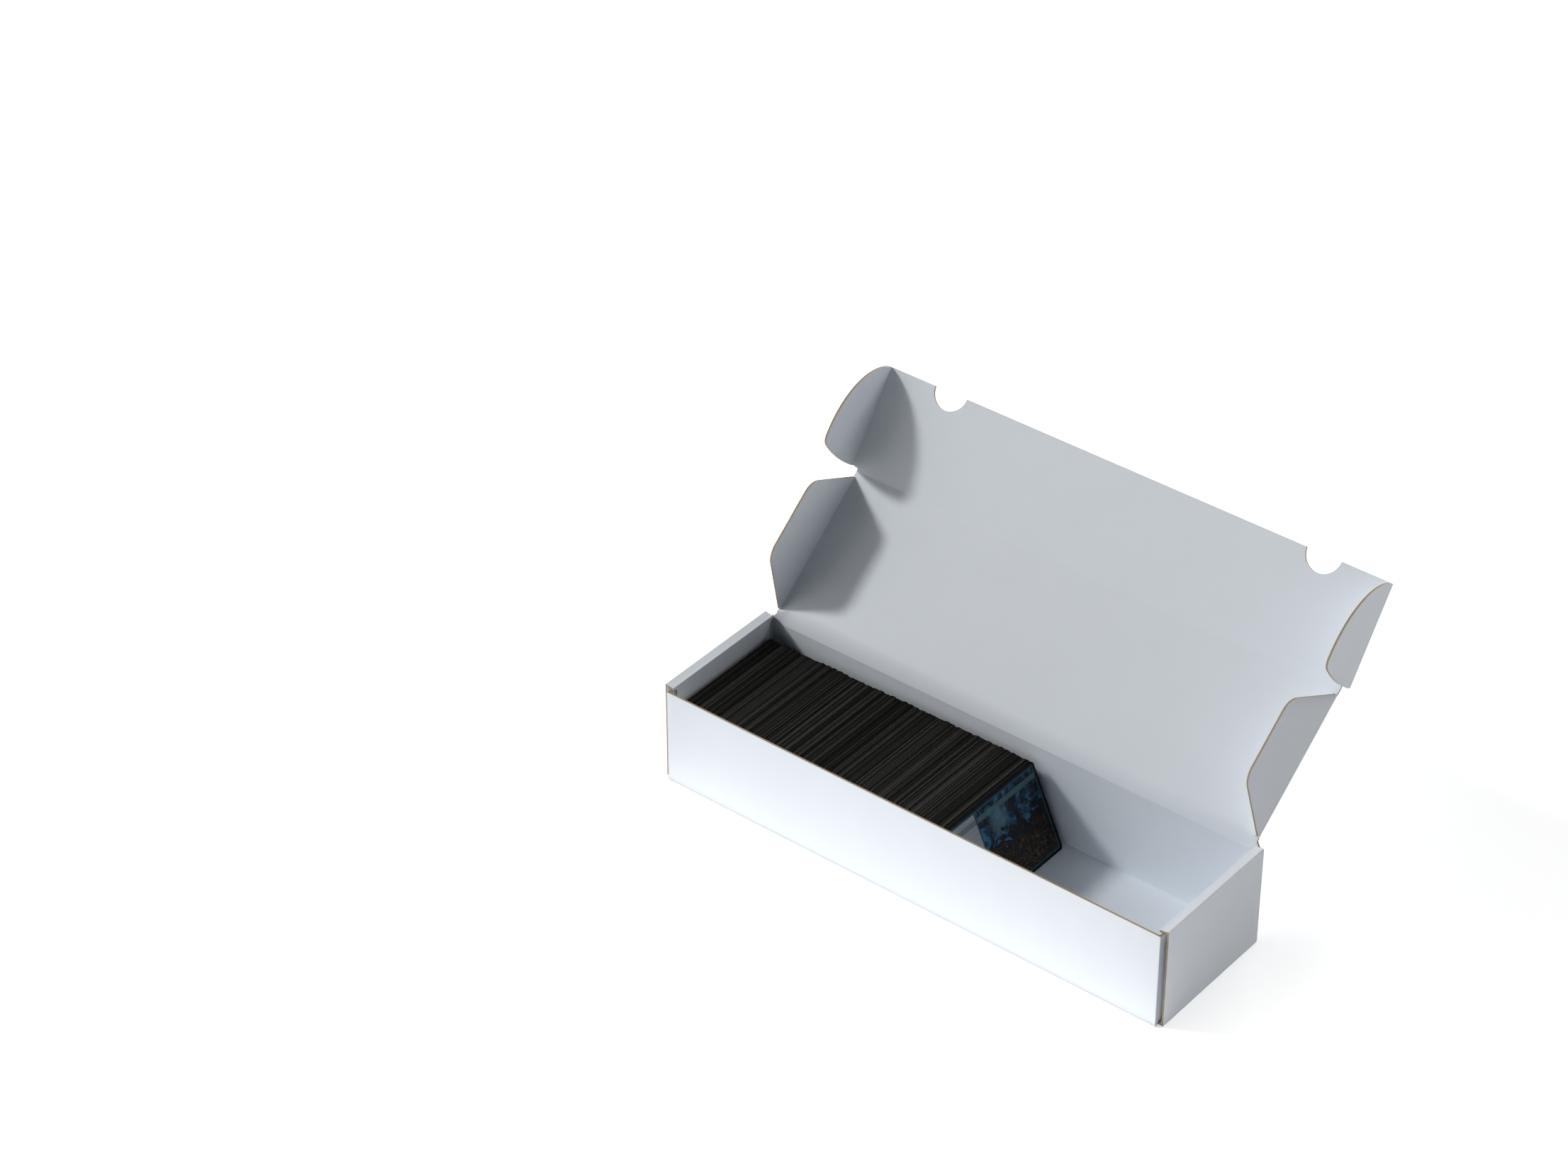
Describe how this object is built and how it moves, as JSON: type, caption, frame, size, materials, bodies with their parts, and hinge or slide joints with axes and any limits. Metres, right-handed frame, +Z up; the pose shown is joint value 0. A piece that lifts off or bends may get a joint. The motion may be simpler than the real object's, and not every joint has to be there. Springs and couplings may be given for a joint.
{
  "type": "trading card box",
  "caption": "Long folding cardboard box with a hinged lid, side flaps and a tuck front with ears, holding a leaning row of trading cards.",
  "frame": {"origin": "middle of the underside of the tray", "axes": "+X along the length to the right end, +Y from the front wall to the hinged back wall, +Z up"},
  "size_m": [0.389, 0.2331, 0.2054],
  "materials": {
    "white_board": "matte",
    "card_edges": "satin",
    "card_face": "satin"
  },
  "bodies": {
    "tray": {"bottom_panel": "white_board", "front_wall": "white_board", "back_wall": "white_board", "left_end_wall": "white_board", "right_end_wall": "white_board", "left_end_strip": "white_board", "right_end_strip": "white_board", "left_inner_panel": "white_board", "right_inner_panel": "white_board", "front_left_corner_flap": "white_board", "front_right_corner_flap": "white_board", "back_left_corner_flap": "white_board", "back_right_corner_flap": "white_board"},
    "lid": {"lid_panel": "white_board"},
    "left_flap": {"left_side_flap": "white_board"},
    "right_flap": {"right_side_flap": "white_board"},
    "tuck": {"tuck_panel": "white_board"},
    "left_tuck_ear": {"left_ear": "white_board"},
    "right_tuck_ear": {"right_ear": "white_board"},
    "cards": {"card_row": "card_edges", "face_card": "card_face"}
  },
  "joints": [
    {"name": "lid_hinge", "type": "hinge", "parent": "tray", "child": "lid", "pos_m": [0, 0.05275, 0.07315], "axis": [-1, 0, 0], "range_deg": [-141.5, 38.5]},
    {"name": "tuck_crease", "type": "hinge", "parent": "lid", "child": "tuck", "pos_m": [0, 0.1368, 0.14001], "axis": [-1, 0, 0], "range_deg": [-74.6, 15.4]},
    {"name": "left_flap_crease", "type": "hinge", "parent": "lid", "child": "left_flap", "pos_m": [-0.18645, 0.05275, 0.07315], "axis": [0, -0.7826, -0.6225], "range_deg": [0, 90]},
    {"name": "right_flap_crease", "type": "hinge", "parent": "lid", "child": "right_flap", "pos_m": [0.18645, 0.05275, 0.07315], "axis": [0, 0.7826, 0.6225], "range_deg": [0, 97.7]},
    {"name": "left_ear_crease", "type": "hinge", "parent": "tuck", "child": "left_tuck_ear", "pos_m": [-0.19185, 0.1368, 0.14001], "axis": [0, -0.5892, -0.808], "range_deg": [0, 90]},
    {"name": "right_ear_crease", "type": "hinge", "parent": "tuck", "child": "right_tuck_ear", "pos_m": [0.19185, 0.1368, 0.14001], "axis": [0, 0.5892, 0.808], "range_deg": [0, 90]},
    {"name": "cards_lift", "type": "slide", "parent": "tray", "child": "cards", "axis": [0, 0, 1], "range_m": [0, 0.075]}
  ]
}
